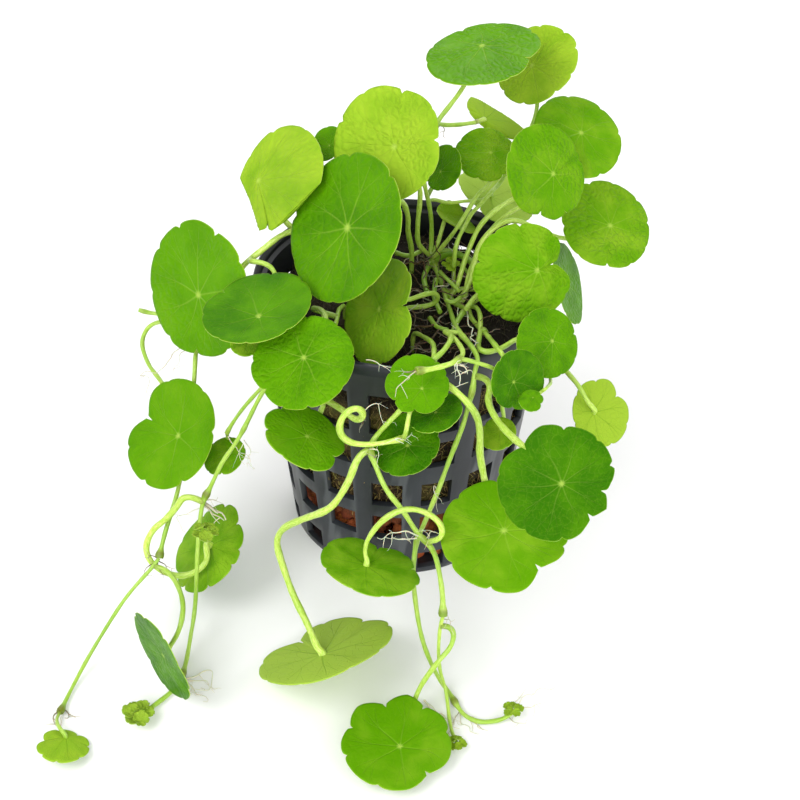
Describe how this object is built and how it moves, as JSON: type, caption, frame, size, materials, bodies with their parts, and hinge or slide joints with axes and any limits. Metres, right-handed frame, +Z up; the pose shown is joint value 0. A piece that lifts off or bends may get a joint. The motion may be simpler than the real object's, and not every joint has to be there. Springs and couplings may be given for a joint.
{
  "type": "potted pennywort plant",
  "caption": "Creeping pennywort with round shield-shaped leaves and runners that trail over the rim of a black lattice net pot.",
  "frame": {"origin": "centre of the pot's underside, where it stands", "axes": "+Z up, +X to the right and +Y away from the viewer in the picture"},
  "size_m": [0.0976, 0.0978, 0.0848],
  "materials": {
    "leaf_green": "waxy satin",
    "leaf_pale_green": "satin",
    "runner_green": "smooth fleshy",
    "pot_plastic": "moulded satin",
    "clay": "rough",
    "rockwool": "fibrous"
  },
  "bodies": {
    "root": {"clay_ballast": "clay", "leaf_behind_left": "leaf_green", "leaf_dark_centre": "leaf_green", "leaf_dark_low_centre": "leaf_green", "leaf_dark_small": "leaf_green", "leaf_dull_behind": "leaf_green", "leaf_edge_on_right": "leaf_green", "leaf_far_left_tip": "leaf_pale_green", "leaf_floor_front": "leaf_green", "leaf_floor_left": "leaf_green", "leaf_folded_top": "leaf_pale_green", "leaf_front_centre": "leaf_pale_green", "leaf_front_left": "leaf_green", "leaf_front_left_low": "leaf_green", "leaf_front_right_behind": "leaf_green", "leaf_front_right_large": "leaf_green", "leaf_front_right_low": "leaf_green", "leaf_hanging_centre": "leaf_green", "leaf_largest": "leaf_green", "leaf_left_behind": "leaf_green", "leaf_left_edge_on": "leaf_green", "leaf_left_folded": "leaf_green", "leaf_left_inner": "leaf_green", "leaf_left_notched": "leaf_green", "leaf_left_shoulder": "leaf_green", "leaf_left_small": "leaf_green", "leaf_pale_back": "leaf_pale_green", "leaf_pale_right": "leaf_pale_green", "leaf_rear_curled": "leaf_pale_green", "leaf_right_lower": "leaf_green", "leaf_right_middle": "leaf_green", "leaf_right_rim": "leaf_green", "leaf_right_rim_low": "leaf_green", "leaf_right_upper": "leaf_green", "leaf_small_front_right": "leaf_green", "leaf_tiny_right": "leaf_green", "leaf_top": "leaf_green", "leaf_top_right": "leaf_pale_green", "leaf_under_largest": "leaf_green", "leaf_upper_centre": "leaf_pale_green", "leaf_upper_left": "leaf_pale_green", "net_pot": "pot_plastic", "rockwool_plug": "rockwool", "runner_crown_back": "runner_green", "runner_crown_front": "runner_green", "runner_curl": "runner_green", "runner_cut_end": "runner_green", "runner_far_left": "runner_green", "runner_far_left_low": "runner_green", "runner_front": "runner_green", "runner_front_low": "runner_green", "runner_high": "runner_green", "runner_left": "runner_green", "runner_left_short": "runner_green", "runner_right": "runner_green", "runner_tip": "runner_green"}
  },
  "joints": []
}
